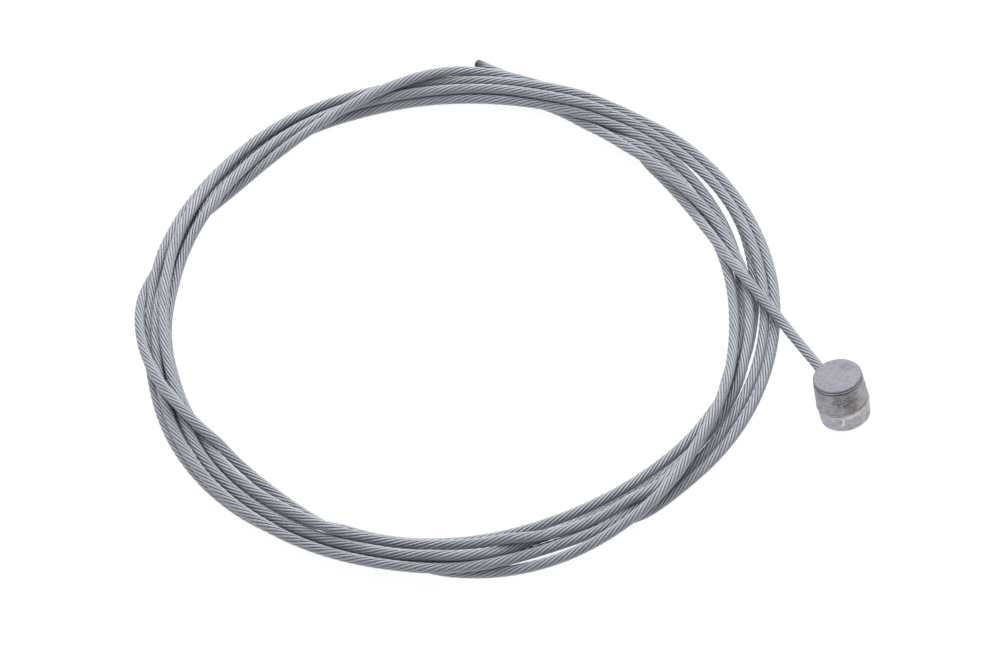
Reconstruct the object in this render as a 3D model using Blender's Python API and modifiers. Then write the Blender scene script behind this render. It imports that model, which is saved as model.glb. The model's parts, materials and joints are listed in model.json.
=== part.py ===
"""A bicycle brake inner wire with a cast barrel nipple, wound into a loose round coil.

The coil is one ring with the outer shape of its turns. A short lead runs from the coil to the barrel,
and the wire's other end sticks out at the back. Everything lies on the plane z = 0, with the origin
under the middle of the whole thing.
"""

import math

import bmesh
import bpy
from mathutils import Matrix, Vector

# Wire and clearances, in metres
WIRE_D = 0.0015
GAP = 0.0003

# Coil: the turns lie side by side and two or three deep
COIL_OUTER_R = 0.0460
COIL_WIDTH = 0.0062
COIL_HEIGHT = 0.0045
COIL_STEPS = 96
COIL_SECTION_POINTS = 16
COIL_SECTION_FULLNESS = 2.6

# Barrel nipple: two cast halves meet at the fattest place, half-way up
BARREL_LENGTH = 0.0074
BARREL_SEAM_R = 0.00370
BARREL_TOP_R = 0.00345
BARREL_FOOT_R = 0.00340
SEAM_WIDTH = 0.0004
SEAM_PROUD = 0.00005
TOP_EDGE = 0.00015
GROOVE_BELOW_TOP = 0.00050
GROOVE_WIDTH = 0.00024
GROOVE_DEPTH = 0.00010
FOOT_EDGE_R = 0.0008
FOOT_EDGE_POINTS = 5
BARREL_STEPS = 48

# Places, measured from the middle of the coil; angles turn left from +X
BARREL_X = 0.0538
BARREL_Y = -0.0174
BARREL_LEAN = math.radians(17)
BARREL_LEANS_TOWARDS = math.radians(138)
LEAD_LEAVES = math.radians(119)
LEAD_MEETS_COIL = math.radians(-5.8)
LEAD_END_HEIGHT = 0.0037
LEAD_POINTS = 6
TAIL_STARTS = math.radians(82.3)
TAIL_TIP_ANGLE = math.radians(86.6)
TAIL_TIP_OUT = 0.0026
TAIL_POINTS = 3
CORD_SIDES = 2


def polar(angle, radius, height):
    return Vector((radius * math.cos(angle), radius * math.sin(angle), height))


def material(name, colour, roughness, metallic):
    made = bpy.data.materials.new(name)
    made.use_nodes = True
    shader = made.node_tree.nodes["Principled BSDF"]
    shader.inputs["Base Color"].default_value = (*colour, 1)
    shader.inputs["Roughness"].default_value = roughness
    shader.inputs["Metallic"].default_value = metallic
    return made


def turned(name, profile, steps, closed, collection):
    """A profile of (radius, height) points, turned round Z with a Screw modifier."""
    mesh = bpy.data.meshes.new(name)
    edit = bmesh.new()
    points = [edit.verts.new((radius, 0, height)) for radius, height in profile]
    for a, b in zip(points, points[1:]):
        edit.edges.new((a, b))
    if closed:
        edit.edges.new((points[-1], points[0]))
    edit.to_mesh(mesh)
    edit.free()
    obj = bpy.data.objects.new(name, mesh)
    collection.objects.link(obj)
    screw = obj.modifiers.new("turned", "SCREW")
    screw.steps = steps
    screw.render_steps = steps
    screw.use_merge_vertices = True
    screw.merge_threshold = 0.000001
    screw.use_smooth_shade = True
    return obj


def wire(name, points, collection):
    """A round tube with closed ends along a line of points."""
    curve = bpy.data.curves.new(name, "CURVE")
    curve.dimensions = "3D"
    curve.bevel_depth = WIRE_D / 2
    curve.bevel_resolution = CORD_SIDES
    curve.use_fill_caps = True
    spline = curve.splines.new("POLY")
    spline.points.add(len(points) - 1)
    for place, point in zip(spline.points, points):
        place.co = (*point, 1)
    obj = bpy.data.objects.new(name, curve)
    collection.objects.link(obj)
    return obj


def smooth_run(start, leaves, end, arrives, count):
    """Points along one smooth curve between two places, with its direction given at both."""
    pull = (end - start).length
    run = []
    for i in range(count):
        t = i / (count - 1)
        run.append(
            start * (2 * t**3 - 3 * t**2 + 1)
            + leaves * pull * (t**3 - 2 * t**2 + t)
            + end * (3 * t**2 - 2 * t**3)
            + arrives * pull * (t**3 - t**2)
        )
    return run


def coil_section():
    """The outline round the turns: a rounded oblong that stands flat on z = 0."""
    outline = []
    middle_r = COIL_OUTER_R - COIL_WIDTH / 2
    for i in range(COIL_SECTION_POINTS):
        angle = -2 * math.pi * (i + 0.5) / COIL_SECTION_POINTS
        across = abs(math.cos(angle)) ** (2 / COIL_SECTION_FULLNESS)
        up = abs(math.sin(angle)) ** (2 / COIL_SECTION_FULLNESS)
        outline.append([math.copysign(across, math.cos(angle)), math.copysign(up, math.sin(angle))])
    widest = max(across for across, up in outline)
    highest = max(up for across, up in outline)
    return [
        (middle_r + across / widest * COIL_WIDTH / 2, (up / highest + 1) * COIL_HEIGHT / 2)
        for across, up in outline
    ]


def draft_radius(height):
    """The barrel's cast side, which thins from the seam towards both ends."""
    end_r = BARREL_TOP_R if height > 0 else BARREL_FOOT_R
    return BARREL_SEAM_R + (end_r - BARREL_SEAM_R) * abs(height) / (BARREL_LENGTH / 2)


def barrel_profile():
    """The barrel's outline from the middle of its top face, down the side, to the middle of its foot."""
    half = BARREL_LENGTH / 2
    groove_top = half - GROOVE_BELOW_TOP
    groove_foot = groove_top - GROOVE_WIDTH
    profile = [
        (0, half),
        (BARREL_TOP_R - TOP_EDGE, half),
        (draft_radius(half - TOP_EDGE), half - TOP_EDGE),
        (draft_radius(groove_top), groove_top),
        (draft_radius(groove_top) - GROOVE_DEPTH, (groove_top + groove_foot) / 2),
        (draft_radius(groove_foot), groove_foot),
    ]
    for height, proud in ((1, 0), (0.5, SEAM_PROUD), (-0.5, SEAM_PROUD), (-1, 0)):
        level = height * SEAM_WIDTH / 2
        profile.append((draft_radius(level) + proud, level))
    for i in range(FOOT_EDGE_POINTS + 1):
        angle = math.pi / 2 * i / FOOT_EDGE_POINTS
        radius = BARREL_FOOT_R - FOOT_EDGE_R * (1 - math.cos(angle))
        profile.append((radius, FOOT_EDGE_R - half - FOOT_EDGE_R * math.sin(angle)))
    profile.append((0, -half))
    return profile


def reach(profile, axis, direction):
    """How far a turned shape reaches in one direction from its middle."""
    along = axis.dot(direction)
    across = math.sqrt(1 - along**2)
    return max(height * along + radius * across for radius, height in profile)


def barrel(place, turn, collection):
    obj = turned("barrel_nipple", barrel_profile(), BARREL_STEPS, False, collection)
    obj.matrix_world = Matrix.Translation(place) @ turn.to_4x4()
    obj.data.materials.append(material("cast_zinc", (0.42, 0.42, 0.44), 0.55, 0.9))
    return obj


def build():
    for obj in list(bpy.data.objects):
        bpy.data.objects.remove(obj)
    collection = bpy.data.collections.new("brake_cable")
    bpy.context.scene.collection.children.link(collection)
    steel = material("galvanised_steel_strand", (0.52, 0.54, 0.57), 0.4, 1.0)
    fit_r = COIL_OUTER_R + GAP + WIRE_D / 2

    # The barrel leans towards the coil and stands on the edge of its foot
    lean_axis = Vector((-math.sin(BARREL_LEANS_TOWARDS), math.cos(BARREL_LEANS_TOWARDS), 0))
    turn = Matrix.Rotation(BARREL_LEAN, 3, lean_axis)
    barrel_axis = turn @ Vector((0, 0, 1))
    profile = barrel_profile()
    barrel_z = reach(profile, barrel_axis, Vector((0, 0, -1)))
    barrel_place = Vector((BARREL_X, BARREL_Y, barrel_z))

    # The lead leaves the barrel's side level, with room for the lean at its square-cut end
    leaves = polar(LEAD_LEAVES, 1, 0)
    lead_start = barrel_place + leaves * (BARREL_SEAM_R + SEAM_PROUD + 2 * GAP)
    lead_end = polar(LEAD_MEETS_COIL, fit_r, LEAD_END_HEIGHT)
    lead_run = smooth_run(lead_start, leaves, lead_end, (lead_end - lead_start).normalized(), LEAD_POINTS)

    tail_start = polar(TAIL_STARTS, fit_r, WIRE_D / 2)
    tail_tip = polar(TAIL_TIP_ANGLE, COIL_OUTER_R + TAIL_TIP_OUT, WIRE_D / 2)
    out = (tail_tip - tail_start).normalized()
    tail_run = smooth_run(tail_start, out, tail_tip, out, TAIL_POINTS)

    coil = turned("coiled_wire", coil_section(), COIL_STEPS, True, collection)
    pieces = [
        coil,
        wire("lead_wire", lead_run, collection),
        wire("tail_wire", tail_run, collection),
    ]
    for piece in pieces:
        piece.data.materials.append(steel)
    pieces.append(barrel(barrel_place, turn, collection))

    # One empty carries all of it, so that the origin lies under the middle of the whole
    middle = bpy.data.objects.new("coil_middle", None)
    collection.objects.link(middle)
    left = -COIL_OUTER_R
    right = BARREL_X + reach(profile, barrel_axis, Vector((1, 0, 0)))
    front = -COIL_OUTER_R
    back = tail_tip.y + WIRE_D / 2 * abs(out.x)
    for piece in pieces:
        piece.parent = middle
    middle.location = (-(left + right) / 2, -(front + back) / 2, 0)


build()
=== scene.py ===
"""A bicycle brake inner wire with a cast barrel nipple, wound into a loose coil, and its photo studio.

All lengths are in metres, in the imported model's own frame.
"""
import json
import math

import bmesh
import bpy
import numpy as np
from mathutils import Matrix, Vector


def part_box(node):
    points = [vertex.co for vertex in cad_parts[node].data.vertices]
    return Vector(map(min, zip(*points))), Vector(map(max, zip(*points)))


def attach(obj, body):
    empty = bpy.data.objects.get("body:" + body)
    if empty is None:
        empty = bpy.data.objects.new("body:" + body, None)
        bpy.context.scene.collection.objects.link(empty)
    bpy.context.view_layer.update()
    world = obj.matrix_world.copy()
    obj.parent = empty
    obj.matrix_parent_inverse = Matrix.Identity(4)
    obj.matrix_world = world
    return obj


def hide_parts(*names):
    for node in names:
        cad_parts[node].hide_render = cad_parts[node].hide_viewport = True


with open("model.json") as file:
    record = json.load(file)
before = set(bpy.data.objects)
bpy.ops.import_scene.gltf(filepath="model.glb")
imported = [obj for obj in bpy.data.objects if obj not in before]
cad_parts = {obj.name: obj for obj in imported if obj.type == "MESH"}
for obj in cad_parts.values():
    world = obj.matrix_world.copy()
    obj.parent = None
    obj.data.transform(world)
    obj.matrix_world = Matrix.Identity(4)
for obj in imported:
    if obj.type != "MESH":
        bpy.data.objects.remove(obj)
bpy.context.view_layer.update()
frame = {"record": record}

# Wire: nine thin wires show, laid round a core that stays hidden, a little tighter near the barrel.
# The zinc bath leaves their grooves part filled
WIRE_R = 0.00075
OUTER_WIRES = 9
GROOVE_LEFT = 0.65
LAY_AT_BARREL = 0.0090
LAY_LENGTH = 0.0110
LAY_EVENS_OUT = 0.070
POINTS_PER_WIRE = 4
RING_STEP = 0.00063
WIRE_SMOOTH_UNDER = math.radians(60)

# Far tip, where the thin wires are melted together and rounded off
MELT_LENGTH = 0.0024
MELT_R = 0.00070
TIP_ROUND = 0.00055
TIP_NOSE = 0.0000165
TIP_RINGS = 6

# Lead, from the barrel to the coil, as the CAD's lead_wire runs
LEAD_LEAVES = math.radians(119)
LEAD_MEETS_COIL = math.radians(-5.8)
LEAD_END_R = 0.04705
LEAD_END_HEIGHT = 0.0037
LEAD_POINTS = 8
HELD_IN_BARREL = 0.0020

# Coil, read in the photograph with the coil unrolled, and corrected where a render of it differed. Its
# outer ellipse has this middle and these half axes, in the photograph's pixels. A reading is the angle
# round that ellipse in degrees, how far out towards it the wire's middle line is seen, as a share, and how
# many layers of wire the turn lies on. The first turn is wound round the others. Where a turn is hidden,
# its readings are guessed
ELLIPSE_MIDDLE = (457, 322)
ELLIPSE_REACH = (323, 257)
LAYER = 0.0013
TURNS = [
    [(0, .998, 2), (5, .945, 2), (10, .905, 2), (15, .878, 2), (20, .863, 1.8), (25, .851, 1),
     (30, .845, .6), (35, .842, .2), (40, .846, 0), (45, .855, 0), (50, .868, 0), (55, .89, .3),
     (60, .912, .8), (64, .93, 1), (68, .942, 1), (72, .947, .9), (75, .952, .9), (80, .966, 1.1),
     (84, .974, 1.3), (88, .979, 1.5), (92, .974, 1.8), (95, .968, 2), (100, .952, 2), (105, .929, 2),
     (110, .908, 2), (115, .892, 2), (120, .877, 2), (125, .864, 1.5), (130, .857, 1), (135, .853, .8),
     (140, .858, .4), (145, .867, 0), (150, .881, 0), (155, .895, 0), (160, .914, 0), (165, .936, 0),
     (168, .95, 0), (171, .961, .1), (175, .974, .4), (180, .984, .9), (184, .983, 1.2), (187, .975, 1.6),
     (190, .965, 2), (195, .945, 2.2), (200, .924, 2.3), (205, .906, 2), (210, .89, 1.6), (215, .8785, 1),
     (220, .8725, .6), (225, .8695, .4), (230, .872, .2), (235, .879, 0), (240, .888, 0), (245, .9, 0),
     (250, .92, 0), (255, .94, 0), (260, .955, 0), (265, .962, 0), (270, .973, .1), (275, .982, .2),
     (280, .983, .4), (285, .981, .6), (290, .974, .8), (295, .963, 1.2), (300, .95, 1.8), (305, .935, 2.1),
     (310, .924, 2.1), (315, .908, 2.1), (320, .896, 2), (325, .884, 2.1), (330, .875, 2.1), (335, .87, 2),
     (340, .868, 1.8), (345, .863, 1.4), (350, .859, 1.1)],
    [(0, .858, 1), (12, .86, .9), (20, .862, .5), (27, .862, .2), (31, .869, .15), (34, .877, .1),
     (37, .884, .1), (42, .888, .1), (46, .888, .2), (50, .882, .5), (55, .878, .4), (60, .888, 0),
     (65, .903, 0), (70, .917, 0), (75, .92, 0), (80, .92, 0), (90, .922, 0), (100, .927, 0),
     (120, .935, 0), (142, .937, .2), (150, .944, .5), (158, .945, .9), (165, .946, 1), (170, .95, .7),
     (175, .952, .3), (180, .954, 0), (188, .96, 0), (195, .968, 0), (200, .98, 0), (205, .991, 0),
     (210, .996, 0), (215, 1.001, 0), (220, 1.003, 0), (225, 1.003, 0), (230, 1.001, 0), (234, .991, 0),
     (237, .981, 0), (240, .974, .1), (245, .968, .3), (250, .964, .6), (256, .9655, .9), (262, .957, 1),
     (267, .947, 1.1), (272, .936, .5), (276, .929, .1), (280, .923, 0), (285, .916, 0), (290, .9115, 0),
     (296, .914, 0), (300, .918, 0), (303, .925, 0), (307, .934, 0), (312, .9385, .1), (316, .943, .4),
     (320, .949, .7), (325, .955, 1), (335, .965, 1), (345, .973, 1), (355, .981, 1)],
    [(0, .984, 1), (10, .988, 1), (20, .991, 1), (30, .991, 1), (40, .985, 1), (45, .978, 1),
     (50, .969, .9), (55, .966, 1), (60, .9645, 1.3), (65, .959, 1.7), (70, .953, 1.8), (75, .949, 1.5),
     (80, .9465, 1.2), (85, .944, 1), (95, .938, 1), (100, .934, 1), (105, .93, 1), (110, .935, 1),
     (115, .939, 1), (120, .942, 1), (127, .942, 1), (135, .9395, 1.2), (142, .935, 1.5), (150, .929, 1.7),
     (155, .928, 1.7), (160, .925, 1.6), (165, .92, 1.4), (170, .917, 1.2), (175, .911, 1.3),
     (180, .907, 1.6), (185, .9075, 1.9), (190, .9075, 1.9), (195, .9075, 1.8), (200, .912, 1.5),
     (205, .928, 1.2), (210, .9455, 1), (215, .951, 1), (220, .953, 1), (225, .953, 1), (230, .952, 1),
     (235, .95, 1), (240, .9395, 1), (245, .9345, 1.1), (250, .9285, 1.4), (256, .9225, 1.95),
     (262, .9205, 2.1), (268, .919, 2), (272, .914, 1.8), (276, .909, 1.5), (280, .903, 1.1),
     (284, .893, .7), (288, .877, .2), (291, .868, 0), (296, .8635, 0), (305, .864, 0), (312, .866, 0),
     (320, .873, 0), (325, .883, 0), (330, .889, 0), (335, .892, .2), (340, .889, .6), (345, .893, .9),
     (350, .898, 1), (355, .905, 1)],
    [(0, .905, 1), (10, .905, 1), (15, .902, 1), (20, .897, 1), (25, .893, 1.2), (30, .885, 1.6),
     (35, .8785, 1.8), (40, .872, 1.9), (45, .865, 1.8), (50, .861, 1.6), (55, .8595, 1.5),
     (60, .8645, 1.4), (63, .87, 1.2), (66, .8795, .9), (68, .885, .6), (70, .889, .3), (74, .89, 0),
     (80, .889, 0), (90, .893, 0), (100, .899, 0), (125, .912, .2), (135, .914, .5), (145, .916, .8),
     (152, .919, .9), (160, .915, .9), (170, .913, .8), (176, .918, 1), (180, .9225, 1.1), (183, .927, 1.1),
     (187, .9335, 1.1), (190, .938, 1), (195, .948, .8), (200, .957, .8), (205, .97, .9), (210, .9775, 1),
     (215, .984, 1), (220, .989, 1), (225, .9915, 1), (230, .991, 1), (235, .989, 1), (240, .986, 1),
     (245, .982, 1), (250, .976, 1.4), (256, .968, 1.8), (262, .96, 1.9), (267, .955, 2), (271, .951, 1.6),
     (275, .944, 1.3), (280, .935, 1.2), (285, .9235, 1.1), (290, .9205, 1.1), (296, .92, 1.1),
     (303, .921, 1.1), (307, .919, 1), (310, .912, .7), (313, .907, .4), (316, .912, .1), (320, .919, .1),
     (325, .923, .2), (330, .9255, .4), (334, .9275, .6), (340, .9355, .8), (345, .94, 1), (350, .9455, 1),
     (358, .953, 1)],
    [(0, .956, 1), (10, .96, 1), (20, .9645, 1), (30, .963, 1), (40, .96, 1), (45, .954, 1.1),
     (50, .949, 1.3), (55, .944, 1.6), (60, .939, 1.8), (65, .934, 2), (70, .929, 2), (75, .924, 1.8),
     (80, .919, 1.5), (85, .912, 1.2), (95, .902, 1), (105, .898, 1), (118, .902, 1), (127, .9, 1),
     (135, .892, 1.2), (145, .889, 1.6), (155, .8865, 1.6), (160, .887, 1.4), (165, .888, 1),
     (170, .893, .8), (175, .9, .6), (180, .907, .8), (186, .908, .8), (192, .908, .4), (198, .909, 0),
     (205, .909, .2), (212, .91, .7), (216, .912, 1), (220, .9135, 1), (225, .911, 1), (230, .9045, 1.2),
     (236, .897, 1.7), (243, .8945, 1.9), (250, .888, 1.6), (256, .882, 1.2), (262, .8735, 1),
     (270, .866, 1.1), (275, .8665, 1.5), (280, .868, 1.5), (285, .87, 1.3), (290, .874, 1), (295, .879, 1),
     (300, .884, 1), (305, .889, 1), (310, .894, .9), (316, .895, 1), (322, .89, 1), (328, .885, 1),
     (335, .877, .9), (340, .875, .7), (345, .875, .3), (352, .878, 0)],
    [(0, .883, 0), (10, .892, 0), (20, .904, 0), (25, .908, 0), (30, .912, 0), (35, .9145, .1),
     (40, .916, .3), (43, .916, .5), (46, .9145, .8), (50, .911, 1.05), (55, .906, 1.15), (60, .902, 1.2),
     (65, .898, 1.3), (70, .893, 1.2), (73, .887, 1.1), (76, .881, 1), (80, .877, .8), (85, .871, .5),
     (90, .868, .3), (95, .866, .1), (103, .864, 0), (112, .867, 0), (118, .872, .2), (125, .884, .4),
     (135, .888, .6), (145, .894, .8), (155, .895, .6), (165, .893, .2), (172, .905, 0), (180, .9215, 0),
     (190, .925, 0), (200, .935, 0), (207, .94, 0), (215, .935, 0), (222, .926, .2), (230, .916, .6),
     (236, .908, .9), (243, .9025, 1.1), (247, .894, 1), (251, .887, .6), (256, .879, .2), (262, .87, 0),
     (272, .855, 0), (280, .843, .1), (285, .8345, .3), (290, .8315, .5), (297, .828, .5), (303, .8285, .5),
     (310, .833, .5), (320, .843, .3), (330, .858, .1), (337, .867, 0), (345, .884, 0), (352, .9, 0)],
    [(0, .912, 0), (5, .925, 0), (10, .9355, 0), (15, .9425, 0), (20, .953, 0), (25, .961, 0),
     (30, .962, 0), (35, .961, 0), (42, .957, 0), (50, .948, 0), (56, .946, 0), (62, .947, 0), (67, .95, 0),
     (72, .952, 0), (77, .947, 0), (80, .948, 0), (82.5, .956, 0)],
]
# The last stretch, to the tip, as angles in degrees and radii on the coil's plan
TIP_STATIONS = [(85, 0.0474), (86.6, 0.0481), (88.5, 0.0490)]

# Settling: each round draws the turns towards their readings, lets them sink, straightens them and pushes
# touching ones apart; the last rounds only straighten and push
DEGREES_PER_POINT = 1.5
SETTLE_ROUNDS = 600
GUIDED_ROUNDS = 480
DRAWN_ACROSS = 0.15
DRAWN_UP = 0.03
SINKS = 0.000006
STRAIGHTENED_GUIDED = 0.25
STRAIGHTENED_FREE = 0.10
PUSHES_A_ROUND = 3
NEVER_ZERO = 1e-9

# Barrel nipple, along its own axis from the middle; the seam is where the two halves of its die met
BARREL_FOOT = -0.0037
BARREL_TOP = 0.0039
BARREL_STEPS = 112
BARREL_TOP_R = 0.00345
BARREL_SEAM_R = 0.00370
BARREL_FOOT_R = 0.00348
BARREL_SEAM_HEIGHT = -0.00085
DRAFT_POWER = 1.3
WALL_STEPS = 31
CLOSEST_LEVELS = 0.0001
MERGE_UNDER = 0.000002
FOOT_EDGE = 0.00070
RIM_EDGE = 0.00013
CAST_UNEVENNESS = 0.00014
CAST_LUMP_SIZE = 0.0022
BARREL_SMOOTH_UNDER = math.radians(35)
# The seam's flash and the two grooves under the rim: how far above the seam or below the top, and how proud
SEAM_FLASH = ((-0.00032, 0), (-0.00016, 0.00005), (0.00010, 0.00006), (0.00020, -0.00002), (0.00034, 0))
RIM_GROOVES = (
    (0.00078, 0), (0.00066, -0.00012), (0.00054, -0.00002), (0.00034, -0.00001), (0.00024, -0.00008)
)
# Grime on the barrel's side: its place and reach in millimetres in the barrel's own frame, colour and share
GRIME = (
    ((0.3, -3.6, 2.0), 2.3, "#5B585C", 0.8),
    ((1.9, -3.0, 2.0), 1.7, "#65605F", 0.5),
    ((1.4, -3.4, 0.7), 1.9, "#7A6F6A", 0.70),
    ((-2.6, -2.6, 2.6), 1.3, "#66636A", 0.5),
)

# Camera: its distance, its height angle and its aim from the coil's middle give the photograph's view
CAMERA_DISTANCE = 0.540
CAMERA_ELEVATION = math.radians(52)
CAMERA_AIM = (0.0061, -0.00295)
FOCAL_PIXELS = 3780
PHOTO_WIDTH = 1000
PHOTO_HEIGHT = 667
SENSOR_WIDTH = 36

# Studio: how strong the paper and the white surround are, and the direction that reflections find dim
FLOOR_SIZE = 4
PAPER_GLOW = 0.93
PAPER_DIFFUSE = 0.16
SURROUND_LIGHT = 0.55
CARD_BRIGHT = 0.92
CARD_DIM = 0.22
DIM_SIDE = (0.0, -0.80, 0.60)
# Soft lamps: the name, the place, the size and the power in watts
LAMPS = (
    ("back", (0.0, 0.19, 0.22), 0.45, 0.72),
    ("overhead", (0.0, 0.25, 0.50), 0.50, 0.3),
)

coil_low, coil_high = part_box("coiled_wire")
COIL_MIDDLE = Vector(((coil_low[0] + coil_high[0]) / 2, (coil_low[1] + coil_high[1]) / 2, 0))
face_at = {mount["name"]: Vector(mount["pos_m"]) for mount in frame["record"]["mounts"]}
BARREL_AXIS = (face_at["barrel_top_face"] - face_at["barrel_foot_face"]).normalized()
BARREL_MIDDLE = (face_at["barrel_top_face"] + face_at["barrel_foot_face"]) / 2
LEAD_DIRECTION = Vector((math.cos(LEAD_LEAVES), math.sin(LEAD_LEAVES), 0))


def smooth_run(t, start, leaves, end, arrives):
    """A smooth run from start to end, at t from 0 to 1, with the pulls that it leaves and arrives with."""
    return (
        start * (2 * t**3 - 3 * t**2 + 1)
        + leaves * (t**3 - 2 * t**2 + t)
        + end * (3 * t**2 - 2 * t**3)
        + arrives * (t**3 - t**2)
    )


def cubic(x, xs, ys):
    """A smooth line through stations that may be unevenly spaced."""
    slopes = np.gradient(ys, xs)
    k = np.clip(np.searchsorted(xs, x) - 1, 0, len(xs) - 2)
    width = xs[k + 1] - xs[k]
    return smooth_run((x - xs[k]) / width, ys[k], width * slopes[k], ys[k + 1], width * slopes[k + 1])


def on_the_plan(angle, share, level):
    """A reading's angle in degrees and radius on the coil's plan, to the tenths that an eye can tell."""
    turn = math.radians(angle)
    right = ELLIPSE_MIDDLE[0] + ELLIPSE_REACH[0] * share * math.cos(turn) - PHOTO_WIDTH / 2
    down = ELLIPSE_MIDDLE[1] - ELLIPSE_REACH[1] * share * math.sin(turn) - PHOTO_HEIGHT / 2
    # The camera's ray through that pixel, followed down to the layer's height
    sine, cosine = math.sin(CAMERA_ELEVATION), math.cos(CAMERA_ELEVATION)
    ray_right = right / FOCAL_PIXELS
    ray_away = cosine - down / FOCAL_PIXELS * sine
    ray_up = -sine - down / FOCAL_PIXELS * cosine
    along = (WIRE_R + LAYER * level - CAMERA_DISTANCE * sine) / ray_up
    x = CAMERA_AIM[0] + along * ray_right
    y = CAMERA_AIM[1] - CAMERA_DISTANCE * cosine + along * ray_away
    found = math.degrees(math.atan2(y, x))
    found += 360 * round((angle - found) / 360)
    return round(found, 1), round(math.hypot(x, y), 4)


def coil_stations():
    """Angle, radius and height of every station along the coil, from the lead's end to the tip."""
    stations = [(math.degrees(LEAD_MEETS_COIL), LEAD_END_R, LEAD_END_HEIGHT)]
    for n, turn in enumerate(TURNS):
        for reading in turn:
            angle, radius = on_the_plan(*reading)
            stations.append((angle + 360 * n, radius, WIRE_R + LAYER * reading[2]))
    for angle, radius in TIP_STATIONS:
        stations.append((angle + 360 * (len(TURNS) - 1), radius, WIRE_R))
    return np.array(stations).T


def settled_turns():
    """Angle, radius and height along the coil, with the turns pushed apart until they only touch."""
    at, radius_at, height_at = coil_stations()
    angle = np.arange(at[0], at[-1], DEGREES_PER_POINT)
    wished_r = cubic(angle, at, radius_at)
    wished_z = np.maximum(cubic(angle, at, height_at), WIRE_R)
    r, z = wished_r.copy(), wished_z.copy()
    # A turn that settles lower keeps its place in the photograph's view by moving towards the back
    lean = np.sin(np.radians(angle)) / math.tan(CAMERA_ELEVATION)
    per_turn = round(360 / DEGREES_PER_POINT)
    pairs = [(slice(0, -per_turn * k), slice(per_turn * k, None)) for k in range(1, len(TURNS))]
    for n in range(SETTLE_ROUNDS):
        guided = n < GUIDED_ROUNDS
        if guided:
            r += DRAWN_ACROSS * (wished_r + lean * (wished_z - z) - r)
            z += DRAWN_UP * (wished_z - z) - SINKS
        straightened = STRAIGHTENED_GUIDED if guided else STRAIGHTENED_FREE
        for line in (r, z):
            line[1:-1] += straightened * ((line[:-2] + line[2:]) / 2 - line[1:-1])
        for _ in range(PUSHES_A_ROUND):
            for one, other in pairs:
                dr, dz = r[other] - r[one], z[other] - z[one]
                apart = np.hypot(dr, dz) + NEVER_ZERO
                push = np.maximum(2 * WIRE_R - apart, 0) / 2 / apart
                r[one] -= dr * push
                z[one] -= dz * push
                r[other] += dr * push
                z[other] += dz * push
            z = np.maximum(z, WIRE_R)
    return np.radians(angle), r, z


def wire_route():
    """The whole wire's middle line, from inside the barrel to the tip."""
    angle, r, z = settled_turns()
    coil = np.stack([r * np.cos(angle), r * np.sin(angle), z], 1) + np.array(COIL_MIDDLE)
    start = BARREL_MIDDLE + LEAD_DIRECTION * (BARREL_SEAM_R - HELD_IN_BARREL)
    end, after = Vector(coil[0]), Vector(coil[2])
    pull = (end - start).length
    leaves = LEAD_DIRECTION * pull
    arrives = (after - end).normalized() * pull
    lead = [smooth_run(i / LEAD_POINTS, start, leaves, end, arrives) for i in range(LEAD_POINTS)]
    return np.concatenate([np.array(lead), coil])


def even_places(route, places):
    """Points and directions at given distances along a route."""
    run = np.concatenate([[0], np.cumsum(np.linalg.norm(np.diff(route, axis=0), axis=1))])
    points = np.stack([cubic(places, run, route[:, axis]) for axis in range(3)], 1)
    along = np.gradient(points, axis=0)
    return points, along / np.linalg.norm(along, axis=1)[:, None]


def fluted_radii():
    """The strand's outline: round wires that touch, with their grooves part filled."""
    half = math.pi / OUTER_WIRES
    pitch_r = WIRE_R / (1 + math.sin(half))
    thin_r = WIRE_R - pitch_r
    radii = []
    for i in range(POINTS_PER_WIRE):
        turn = (i / POINTS_PER_WIRE * 2 - 1) * half
        out = pitch_r * math.cos(turn) + math.sqrt(max(thin_r**2 - (pitch_r * math.sin(turn)) ** 2, 0))
        radii.append(WIRE_R - (WIRE_R - out) * GROOVE_LEFT)
    return np.array(radii * OUTER_WIRES)


def eased(share):
    """A share from 0 to 1 that starts and stops gently."""
    return share**2 * (3 - 2 * share)


def strand_rings(route):
    """The rings along the strand: middles, directions, lays so far, how melted, and how large at the tip."""
    total = np.linalg.norm(np.diff(route, axis=0), axis=1).sum()
    body = np.arange(0, total - TIP_ROUND, RING_STEP)
    tip = total - TIP_ROUND * (1 - np.sin(np.linspace(0, math.pi / 2, TIP_RINGS, endpoint=False)))
    places = np.concatenate([body, tip])
    points, along = even_places(route, places)
    lay = LAY_AT_BARREL + (LAY_LENGTH - LAY_AT_BARREL) * eased(np.clip(places / LAY_EVENS_OUT, 0, 1))
    lays = np.cumsum(np.diff(places, prepend=0) / lay)
    melt = eased(np.clip((places - (total - MELT_LENGTH)) / (MELT_LENGTH - TIP_ROUND), 0, 1))
    into_tip = np.clip((places - (total - TIP_ROUND)) / TIP_ROUND, 0, 1)
    return points, along, lays, melt, np.sqrt(1 - into_tip**2)


def tube_faces(lays, count):
    """The faces of a tube of rings, closed by a point at each end, and the UV places of their corners."""
    rings = len(lays)
    faces = []
    uvs = []
    for i in range(rings - 1):
        low, high = lays[i], lays[i + 1]
        for j in range(count):
            k = (j + 1) % count
            faces.append((i * count + j, i * count + k, (i + 1) * count + k, (i + 1) * count + j))
            uvs += [(low, j / count), (low, (j + 1) / count), (high, (j + 1) / count), (high, j / count)]
    near_end, far_end = rings * count, rings * count + 1
    for end, ring, turned in ((near_end, 0, True), (far_end, rings - 1, False)):
        u = lays[ring]
        for j in range(count):
            pair = (ring * count + j, ring * count + (j + 1) % count)
            faces.append((end, *(reversed(pair) if turned else pair)))
            uvs += [(u, 0.5), (u, j / count), (u, (j + 1) / count)]
    return faces, uvs


def make_active(obj):
    """Selects one object alone, for the operator that comes next."""
    bpy.ops.object.select_all(action="DESELECT")
    obj.select_set(True)
    bpy.context.view_layer.objects.active = obj


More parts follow.
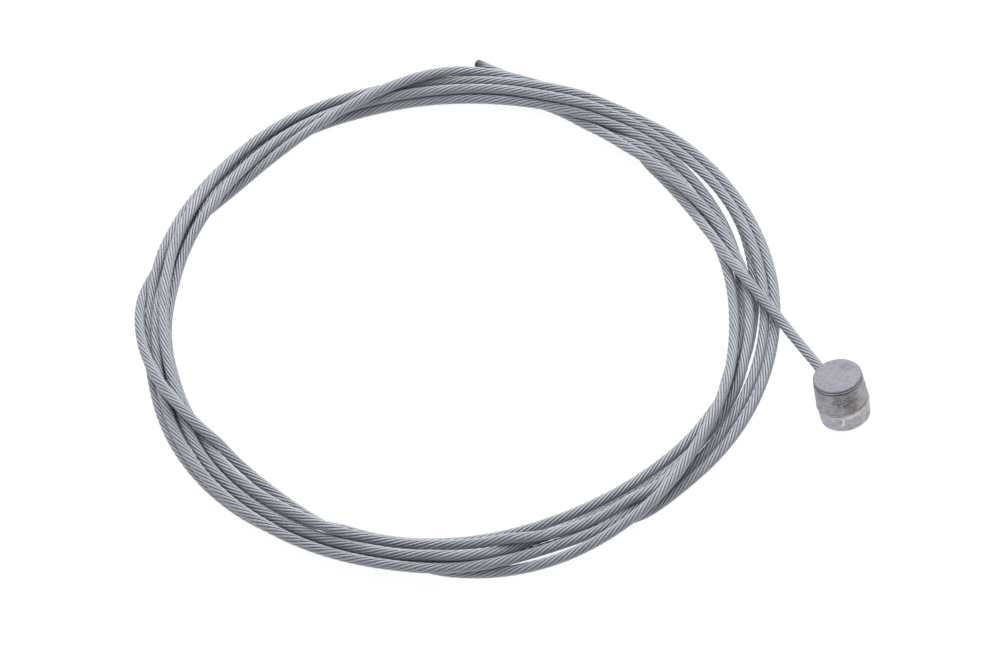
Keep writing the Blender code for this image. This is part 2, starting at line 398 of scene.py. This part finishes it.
def strand(route):
    """One tube whose nine flutes wind round it, with its grooves, its melted tip and its own UV map."""
    points, along, lays, melt, rounding = strand_rings(route)
    flutes = fluted_radii()
    count = len(flutes)
    side = Vector((0, 0, 1))
    verts = []
    for i, (point, direction) in enumerate(zip(points, along)):
        direction = Vector(direction)
        side = (side - direction * side.dot(direction)).normalized()
        across = direction.cross(side)
        angles = -2 * math.pi * lays[i] + 2 * math.pi * np.arange(count) / count
        radii = (flutes * (1 - melt[i]) + MELT_R * melt[i]) * rounding[i]
        verts.append(
            point
            + np.outer(radii * np.cos(angles), np.array(side))
            + np.outer(radii * np.sin(angles), np.array(across))
        )
    verts = np.concatenate(verts + [points[:1], points[-1:] + along[-1:] * TIP_NOSE])
    faces, uvs = tube_faces(lays, count)
    mesh = bpy.data.meshes.new("inner_wire")
    mesh.from_pydata(verts.tolist(), [], faces)
    mesh.uv_layers.new(name="lay").data.foreach_set("uv", np.array(uvs).ravel())
    melted = np.concatenate([np.repeat(melt, count), [0, 1]])
    mesh.attributes.new("melted", "FLOAT", "POINT").data.foreach_set("value", melted)
    obj = bpy.data.objects.new("inner_wire", mesh)
    bpy.context.collection.objects.link(obj)
    make_active(obj)
    bpy.ops.object.shade_smooth_by_angle(angle=WIRE_SMOOTH_UNDER)
    return obj, points


def select_edges_at(mesh, height, tolerance=0.00001):
    """Selects the ring of edges at one height, in edit mode."""
    edit = bmesh.from_edit_mesh(mesh)
    for edge in edit.edges:
        edge.select = all(abs(vert.co.z - height) < tolerance for vert in edge.verts)
    edit.select_flush(True)
    bmesh.update_edit_mesh(mesh)


def draft_radius(height):
    """The cast side, which thins from the seam towards both ends."""
    end, end_r = (BARREL_TOP, BARREL_TOP_R) if height > BARREL_SEAM_HEIGHT else (BARREL_FOOT, BARREL_FOOT_R)
    share = (height - BARREL_SEAM_HEIGHT) / (end - BARREL_SEAM_HEIGHT)
    return BARREL_SEAM_R + (end_r - BARREL_SEAM_R) * share**DRAFT_POWER


def barrel_levels():
    """Heights and radii up the barrel's side, from the foot: drafted walls, the flash and two grooves."""
    shaped = [(BARREL_SEAM_HEIGHT + above, proud) for above, proud in SEAM_FLASH]
    shaped += [(BARREL_TOP - below, proud) for below, proud in RIM_GROOVES]
    walls = []
    for i in range(1, WALL_STEPS):
        height = BARREL_FOOT + i * (BARREL_TOP - BARREL_FOOT) / WALL_STEPS
        if min(abs(height - level) for level, _ in shaped) > CLOSEST_LEVELS:
            walls.append((height, 0))
    levels = [(height, draft_radius(height) + proud) for height, proud in sorted(walls + shaped)]
    return levels + [(BARREL_TOP, BARREL_TOP_R)]


def barrel_nipple():
    """The cast barrel: a disc extruded up level by level, bevelled at both ends, then made uneven."""
    bpy.ops.object.select_all(action="DESELECT")
    bpy.ops.mesh.primitive_circle_add(
        vertices=BARREL_STEPS, radius=BARREL_FOOT_R, fill_type="NGON", location=(0, 0, BARREL_FOOT)
    )
    obj = bpy.context.object
    obj.name = "nipple_casting"
    bpy.ops.object.transform_apply(location=True, rotation=True, scale=True)
    bpy.ops.object.mode_set(mode="EDIT")
    bpy.ops.mesh.select_all(action="SELECT")
    height, radius = BARREL_FOOT, BARREL_FOOT_R
    for next_height, next_radius in barrel_levels():
        bpy.ops.mesh.extrude_region_move(TRANSFORM_OT_translate={"value": (0, 0, next_height - height)})
        grow = next_radius / radius
        bpy.ops.transform.resize(value=(grow, grow, 1), center_override=(0, 0, next_height))
        height, radius = next_height, next_radius
    # The foot's edge is well rounded and the rim only just broken
    bpy.ops.mesh.select_all(action="DESELECT")
    bpy.ops.mesh.select_mode(type="EDGE")
    select_edges_at(obj.data, BARREL_FOOT)
    bpy.ops.mesh.bevel(offset=FOOT_EDGE, segments=7, profile=0.5, clamp_overlap=False)
    bpy.ops.mesh.select_all(action="DESELECT")
    select_edges_at(obj.data, BARREL_TOP)
    bpy.ops.mesh.bevel(offset=RIM_EDGE, segments=3, profile=0.5)
    bpy.ops.mesh.select_all(action="SELECT")
    bpy.ops.mesh.remove_doubles(threshold=MERGE_UNDER)
    bpy.ops.mesh.normals_make_consistent(inside=False)
    bpy.ops.object.mode_set(mode="OBJECT")
    lumps = bpy.data.textures.new("cast_lumps", "CLOUDS")
    lumps.noise_scale = CAST_LUMP_SIZE
    uneven = obj.modifiers.new("cast_lumps", "DISPLACE")
    uneven.texture = lumps
    uneven.texture_coords = "LOCAL"
    uneven.strength = CAST_UNEVENNESS
    uneven.mid_level = 0.5
    bpy.ops.object.modifier_apply(modifier="cast_lumps")
    bpy.ops.object.shade_smooth_by_angle(angle=BARREL_SMOOTH_UNDER)
    return obj


def barrel_turn():
    """The turn from upright to the barrel's lean."""
    return Vector((0, 0, 1)).rotation_difference(BARREL_AXIS).to_matrix()


def lay_in_place(obj):
    """Turns the finished barrel to its lean and puts its place into its mesh."""
    obj.matrix_world = Matrix.Translation(BARREL_MIDDLE) @ barrel_turn().to_4x4()
    make_active(obj)
    bpy.ops.object.transform_apply(location=True, rotation=True, scale=True)


def linear(hex_text, alpha=1.0):
    """An sRGB hex colour as the linear colour that a shader takes."""
    shares = [int(hex_text[i:i + 2], 16) / 255 for i in (1, 3, 5)]
    return [v / 12.92 if v <= 0.04045 else ((v + 0.055) / 1.055) ** 2.4 for v in shares] + [alpha]


def add(tree, kind, values=None, links=None, **settings):
    """One node with its settings, its inputs' values and the sockets that feed it."""
    made = tree.nodes.new(kind)
    for name, value in settings.items():
        setattr(made, name, value)
    for name, value in (values or {}).items():
        made.inputs[name].default_value = value
    for name, source in (links or {}).items():
        tree.links.new(source, made.inputs[name])
    return made


def maths(tree, operation, *terms):
    """A Math node's result; its terms are numbers and sockets."""
    sockets = {i: term for i, term in enumerate(terms) if isinstance(term, bpy.types.NodeSocket)}
    numbers = {i: term for i, term in enumerate(terms) if i not in sockets}
    return add(tree, "ShaderNodeMath", numbers, sockets, operation=operation).outputs[0]


def times(tree, product, *others):
    """The product of sockets and numbers."""
    for other in others:
        product = maths(tree, "MULTIPLY", product, other)
    return product


def ranged(tree, value, start, end, low=0.0, high=1.0, smooth=False):
    """Goes from low to high as a value goes from start to end, and stays level beyond them."""
    return add(
        tree, "ShaderNodeMapRange",
        {"From Min": start, "From Max": end, "To Min": low, "To Max": high}, {"Value": value},
        interpolation_type="SMOOTHSTEP" if smooth else "LINEAR",
    ).outputs["Result"]


def stretched(tree, place, scales):
    """A place with each of its coordinates scaled by its own factor."""
    return add(tree, "ShaderNodeVectorMath", {1: scales}, {0: place}, operation="MULTIPLY").outputs[0]


def noise(tree, place, scale, detail, roughness=0.5, distortion=0.0):
    """A soft random pattern's value at a place."""
    return add(
        tree, "ShaderNodeTexNoise",
        {"Scale": scale, "Detail": detail, "Roughness": roughness, "Distortion": distortion},
        {"Vector": place},
    ).outputs["Fac"]


def tinted(tree, under, hex_text, factor):
    """A colour laid over another, which is hex text or a socket, where its factor says."""
    values, links = {"B": linear(hex_text)}, {"Factor": factor}
    if isinstance(under, str):
        values["A"] = linear(under)
    else:
        links["A"] = under
    return add(tree, "ShaderNodeMix", values, links, data_type="RGBA").outputs["Result"]


def near_level(tree, value, level, reach):
    """1 where a value is at a level, fading to 0 at its reach above and below."""
    away = maths(tree, "ABSOLUTE", maths(tree, "SUBTRACT", value, level))
    return ranged(tree, away, reach * 0.3, reach, 1.0, 0.0, smooth=True)


def near_place(tree, own, place, reach):
    """1 at a place in the barrel's own frame, in millimetres, fading to 0 at its reach."""
    away = add(tree, "ShaderNodeVectorMath", {1: place}, {0: own}, operation="DISTANCE").outputs["Value"]
    return ranged(tree, away, reach * 0.3, reach, 1.0, 0.0, smooth=True)


def new_material(name):
    """A material with an empty node tree."""
    made = bpy.data.materials.new(name)
    made.use_nodes = True
    made.node_tree.nodes.clear()
    return made, made.node_tree


def finish_material(tree, colour, roughness, metallic, relief, strength, depth):
    """The bumps, the Principled shader and the output that end each metal."""
    bump = add(tree, "ShaderNodeBump", {"Strength": strength, "Distance": depth}, {"Height": relief})
    shader = add(
        tree, "ShaderNodeBsdfPrincipled", {"Metallic": metallic},
        {"Base Color": colour, "Roughness": roughness, "Normal": bump.outputs[0]},
    )
    add(tree, "ShaderNodeOutputMaterial", links={"Surface": shader.outputs[0]})


def galvanised_steel_strand():
    """Galvanised high-carbon steel wire: a blue-grey satin, streaked along each wire, with grooves darkened
    partly by oil and partly by painted shade.
    """
    made, tree = new_material("galvanised_steel_strand")
    uv = add(tree, "ShaderNodeUVMap", uv_map="lay").outputs[0]
    parts = add(tree, "ShaderNodeSeparateXYZ", links={"Vector": uv})
    wires = times(tree, parts.outputs["Y"], OUTER_WIRES)
    own_tone = add(
        tree, "ShaderNodeTexWhiteNoise", links={"W": maths(tree, "FLOOR", wires)}, noise_dimensions="1D"
    ).outputs["Value"]
    # The grooves between the wires are darkened partly by oil and partly by painted shade, where the wires
    # shade each other
    groove = ranged(tree, maths(tree, "PINGPONG", wires, 0.5), 0.04, 0.22, 1.0, 0.0, smooth=True)
    # Streaks 1.5 mm long and four to a wire, left by the drawing die and the zinc bath
    streaks = noise(tree, stretched(tree, uv, (7, 4 * OUTER_WIRES, 1)), 1.0, 3.0)
    tone = maths(tree, "MULTIPLY_ADD", streaks, 0.5, times(tree, own_tone, 0.5))
    colour = tinted(tree, "#A1A5AC", "#BCC0C8", tone)
    colour = tinted(tree, colour, "#6E7075", groove)
    melted = add(tree, "ShaderNodeAttribute", attribute_name="melted").outputs["Fac"]
    colour = tinted(tree, colour, "#5C5D5E", melted)
    roughness = ranged(tree, streaks, 0.3, 0.7, 0.54, 0.64)
    finish_material(tree, colour, roughness, metallic=0.7, relief=streaks, strength=0.35, depth=0.00002)
    return made


def side_marks(tree, colour, own, height, shade, wavy):
    """The seam's flash, rubbed pale, mostly right of the middle, and painted shade in the two grooves by the
    rim.
    """
    seam = BARREL_SEAM_HEIGHT * 1000
    band = near_level(tree, wavy, seam, 0.45)
    colour = tinted(tree, colour, "#E2DEDC", times(tree, band, shade, 0.8))
    brightest = near_place(tree, own, (1.3, -3.4, seam), 1.8)
    colour = tinted(tree, colour, "#E8E4E2", times(tree, band, brightest, 0.9))
    colour = tinted(tree, colour, "#8A8486", times(tree, near_level(tree, wavy, seam + 0.55, 0.30), 0.5))
    # Painted shade: the two grooves under the rim are darkened where shade falls in them
    for below in (0.24, 0.66):
        dark = near_level(tree, height, BARREL_TOP * 1000 - below, 0.16)
        colour = tinted(tree, colour, "#4C4B50", times(tree, dark, 0.7))
    return colour


def scratched(tree, colour, parts):
    """One short pale scratch down the front, below the seam, upright in the photograph."""
    slant = maths(tree, "MULTIPLY_ADD", parts.outputs["Z"], -0.22, -0.18)
    across = maths(tree, "ADD", parts.outputs["X"], slant)
    in_front = maths(tree, "LESS_THAN", parts.outputs["Y"], 0.0)
    width = near_level(tree, across, 0.0, 0.15)
    length = near_level(tree, parts.outputs["Z"], -1.75, 1.1)
    return tinted(tree, colour, "#F0EEEC", times(tree, width, length, in_front))


def top_face_marks(tree, colour, own, on_top, shade, gritty, grit):
    """Faint turned rings on the top face, fine scuffs all over it and one rubbed mark."""
    rings = add(
        tree, "ShaderNodeTexWave", {"Scale": 0.62, "Distortion": 3.0, "Detail": 3.0, "Detail Scale": 1.2},
        {"Vector": own}, wave_type="RINGS", rings_direction="Z",
    ).outputs["Fac"]
    colour = tinted(tree, colour, "#7F7E87", times(tree, rings, on_top, shade, 0.35))
    scuffs = ranged(tree, gritty, 0.52, 0.64)
    colour = tinted(tree, colour, "#66656D", times(tree, scuffs, on_top, 0.50))
    rubbed = near_place(tree, own, (1.3, 1.5, BARREL_TOP * 1000), 1.3)
    return tinted(tree, colour, "#6C6B73", times(tree, rubbed, grit, 0.55, on_top))


def die_cast_zinc():
    """Zinc alloy as it left the die: dull lilac grey, with flow marks, a pale seam, scuffs and dirt."""
    made, tree = new_material("die_cast_zinc")
    place = add(tree, "ShaderNodeTexCoord")
    # The barrel's own frame, in millimetres; its -Y side faces the front
    own = add(
        tree, "ShaderNodeMapping",
        {"Location": BARREL_MIDDLE, "Rotation": barrel_turn().to_euler(), "Scale": (0.001,) * 3},
        {"Vector": place.outputs["Object"]}, vector_type="TEXTURE",
    ).outputs[0]
    parts = add(tree, "ShaderNodeSeparateXYZ", links={"Vector": own})
    height = parts.outputs["Z"]
    top = BARREL_TOP * 1000
    seam = BARREL_SEAM_HEIGHT * 1000

    mottle = noise(tree, own, 1.3, 6.0, 0.65)
    shade = ranged(tree, mottle, 0.35, 0.65)
    flow = noise(tree, stretched(tree, own, (0.9, 0.9, 6.0)), 1.0, 4.0, distortion=0.6)
    gritty = noise(tree, own, 2.0, 6.0, 0.72)
    grit = ranged(tree, gritty, 0.36, 0.60)
    # The top face is plain; the cast side has the flow marks
    on_side = ranged(tree, height, top - 0.12, top - 0.02, 1.0, 0.0)
    on_top = maths(tree, "SUBTRACT", 1.0, on_side)

    colour = tinted(tree, "#A8A7AD", "#C4C3CC", shade)
    # Paler below the seam
    colour = tinted(tree, colour, "#D2D0D4", ranged(tree, height, seam + 0.2, seam - 0.6, 0.0, 0.6))
    flow_dark = ranged(tree, flow, 0.50, 0.36, 0.0, 0.75)
    colour = tinted(tree, colour, "#77747A", times(tree, flow_dark, on_side))
    flow_pale = ranged(tree, flow, 0.56, 0.68, 0.0, 0.8)
    colour = tinted(tree, colour, "#D4D1D3", times(tree, flow_pale, on_side))
    colour = tinted(tree, colour, "#96959E", times(tree, on_top, 0.75))
    # Lilac bloom low on the left
    bloom = near_place(tree, own, (-2.4, -2.4, -2.3), 1.8)
    colour = tinted(tree, colour, "#B3B0CB", times(tree, bloom, 0.4))
    # The seam's marks wander a little up and down
    wavy = maths(tree, "ADD", height, maths(tree, "MULTIPLY_ADD", mottle, -0.6, 0.3))
    colour = side_marks(tree, colour, own, height, shade, wavy)
    # Grime below the rim, and a brown smear right of the middle above the seam
    for spot, reach, stain, share in GRIME:
        dirt = near_place(tree, own, spot, reach)
        colour = tinted(tree, colour, stain, times(tree, dirt, grit, share, on_side))
    colour = scratched(tree, colour, parts)
    colour = top_face_marks(tree, colour, own, on_top, shade, gritty, grit)
    roughness = ranged(tree, mottle, 0.3, 0.7, 0.58, 0.74)
    relief = maths(tree, "MULTIPLY_ADD", flow, 0.5, gritty)
    finish_material(tree, colour, roughness, metallic=0.6, relief=relief, strength=0.5, depth=0.00008)
    return made


def white_paper():
    """White paper that glows evenly where it is seen, and lights the parts as plain white paper does."""
    made, tree = new_material("white_paper")
    path = add(tree, "ShaderNodeLightPath").outputs
    seen = maths(tree, "MAXIMUM", path["Is Camera Ray"], path["Is Glossy Ray"])
    seen = maths(tree, "MAXIMUM", seen, path["Is Transmission Ray"])
    lit = add(tree, "ShaderNodeBsdfDiffuse", {"Color": linear("#FFFFFF")})
    faint = add(tree, "ShaderNodeBsdfDiffuse", {"Color": (PAPER_DIFFUSE,) * 3 + (1,)})
    glow = add(tree, "ShaderNodeEmission", {"Color": (1, 1, 1, 1), "Strength": PAPER_GLOW})
    paper = add(tree, "ShaderNodeAddShader", links={0: faint.outputs[0], 1: glow.outputs[0]})
    mix = add(tree, "ShaderNodeMixShader", links={0: seen, 1: lit.outputs[0], 2: paper.outputs[0]})
    add(tree, "ShaderNodeOutputMaterial", links={"Surface": mix.outputs[0]})
    return made


def paper_floor():
    """The sheet that the parts lie on."""
    bpy.ops.object.select_all(action="DESELECT")
    bpy.ops.mesh.primitive_plane_add(size=FLOOR_SIZE, location=(0, 0, 0))
    floor = bpy.context.object
    floor.name = "paper_floor"
    floor.data.materials.append(white_paper())


def white_surround():
    """A bright card all round, dim at the front where the room is open; the camera sees plain white."""
    world = bpy.data.worlds.new("studio")
    bpy.context.scene.world = world
    world.use_nodes = True
    tree = world.node_tree
    tree.nodes.clear()
    toward = add(tree, "ShaderNodeTexCoord")
    dim = add(
        tree, "ShaderNodeVectorMath", {1: Vector(DIM_SIDE).normalized()}, {0: toward.outputs["Generated"]},
        operation="DOT_PRODUCT",
    )
    card = ranged(tree, dim.outputs["Value"], 0.15, 0.98, CARD_BRIGHT, CARD_DIM, smooth=True)
    path = add(tree, "ShaderNodeLightPath").outputs
    glossy = add(tree, "ShaderNodeMix", {"A": SURROUND_LIGHT}, {"Factor": path["Is Glossy Ray"], "B": card})
    white = maths(tree, "MAXIMUM", path["Is Camera Ray"], path["Is Transmission Ray"])
    strength = add(tree, "ShaderNodeMix", {"B": 1.0}, {"Factor": white, "A": glossy.outputs["Result"]})
    surround = add(
        tree, "ShaderNodeBackground", {"Color": (1, 1, 1, 1)}, {"Strength": strength.outputs["Result"]}
    )
    add(tree, "ShaderNodeOutputWorld", links={"Surface": surround.outputs[0]})


def soft_lamps():
    """Round area lamps, aimed at the middle of the floor."""
    for name, place, size, power in LAMPS:
        light = bpy.data.lights.new(name, "AREA")
        light.shape = "DISK"
        light.size = size
        light.energy = power
        lamp = bpy.data.objects.new(name, light)
        bpy.context.collection.objects.link(lamp)
        lamp.location = place
        lamp.rotation_euler = (-Vector(place)).to_track_quat("-Z", "Y").to_euler()


def camera():
    """The photograph's view."""
    data = bpy.data.cameras.new("photo_view")
    data.sensor_width = SENSOR_WIDTH
    data.lens = FOCAL_PIXELS * SENSOR_WIDTH / PHOTO_WIDTH
    made = bpy.data.objects.new("photo_view", data)
    bpy.context.collection.objects.link(made)
    back = Vector((0, -math.cos(CAMERA_ELEVATION), math.sin(CAMERA_ELEVATION)))
    made.location = COIL_MIDDLE + Vector((*CAMERA_AIM, 0)) + back * CAMERA_DISTANCE
    made.rotation_euler = (math.pi / 2 - CAMERA_ELEVATION, 0, 0)
    bpy.context.scene.camera = made


camera()
route = wire_route()
inner_wire, ring_middles = strand(route)
inner_wire.data.materials.append(galvanised_steel_strand())
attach(inner_wire, "root")
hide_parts("coiled_wire", "lead_wire", "tail_wire")

nipple = barrel_nipple()
lay_in_place(nipple)
nipple.data.materials.append(die_cast_zinc())
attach(nipple, "root")
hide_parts("barrel_nipple")

paper_floor()
white_surround()
soft_lamps()
bpy.context.scene.view_settings.view_transform = "Standard"
